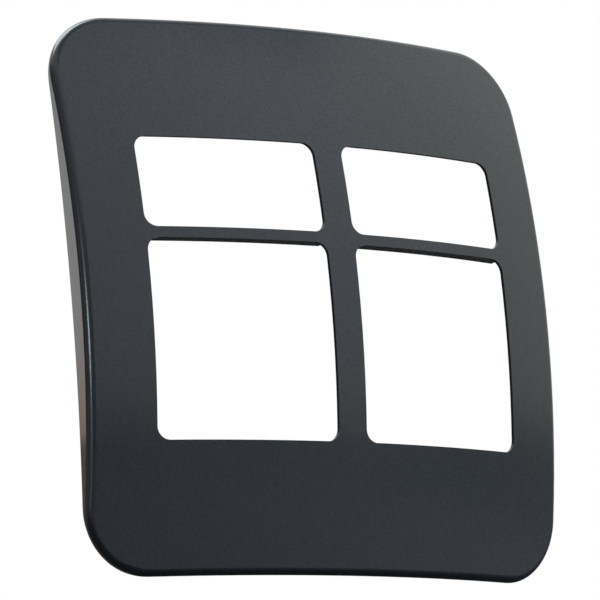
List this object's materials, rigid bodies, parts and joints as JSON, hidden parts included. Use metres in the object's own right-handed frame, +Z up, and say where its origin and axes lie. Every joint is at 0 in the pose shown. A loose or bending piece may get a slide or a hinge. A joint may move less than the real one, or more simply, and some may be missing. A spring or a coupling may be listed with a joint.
{
  "type": "grid switch plate",
  "caption": "Domed square wall plate pressed from one steel sheet, with low module windows over tall ones and a skirt, leaning inwards all round, that springs over the frame behind it.",
  "frame": {"origin": "middle of the plate on the plane of the wall, where the back edge of the skirt lies", "axes": "+X across the plate to the right seen from the front, +Z up, +Y into the wall, so the domed front faces -Y"},
  "size_m": [0.127, 0.0175, 0.127],
  "materials": {
    "charcoal_coat": "satin charcoal powder coat"
  },
  "bodies": {
    "root": {"cover_plate": "charcoal_coat"}
  },
  "joints": []
}
